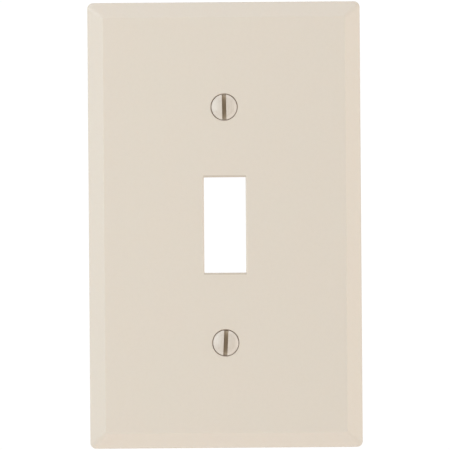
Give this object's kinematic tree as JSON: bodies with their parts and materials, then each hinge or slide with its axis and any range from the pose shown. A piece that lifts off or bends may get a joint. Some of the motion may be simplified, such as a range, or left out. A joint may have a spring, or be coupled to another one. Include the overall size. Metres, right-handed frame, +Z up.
{
  "type": "toggle switch wall plate",
  "caption": "Single-gang wall plate with a toggle opening, bevelled border, hollow ribbed back and slotted oval-head fixing screws.",
  "frame": {"origin": "centre of the rear rim, in the plane of the wall", "axes": "+Z up, -Y out of the face towards the person using it, +Y into the wall, +X to that person's right"},
  "size_m": [0.0698, 0.0138, 0.1142],
  "materials": {
    "moulded_plastic": "light almond thermoset, fine semi-gloss",
    "painted_screw": "steel, head enamelled to match the plate, shank zinc plated"
  },
  "bodies": {
    "plate": {"wall_plate": "moulded_plastic"},
    "screw_upper": {"upper_screw": "painted_screw"},
    "screw_lower": {"lower_screw": "painted_screw"}
  },
  "joints": [
    {"name": "upper_screw_turn", "type": "hinge", "parent": "plate", "child": "screw_upper", "pos_m": [0, 0, 0.03016], "axis": [0, 1, 0], "continuous": true},
    {"name": "lower_screw_turn", "type": "hinge", "parent": "plate", "child": "screw_lower", "pos_m": [0, 0, -0.03016], "axis": [0, 1, 0], "continuous": true}
  ]
}
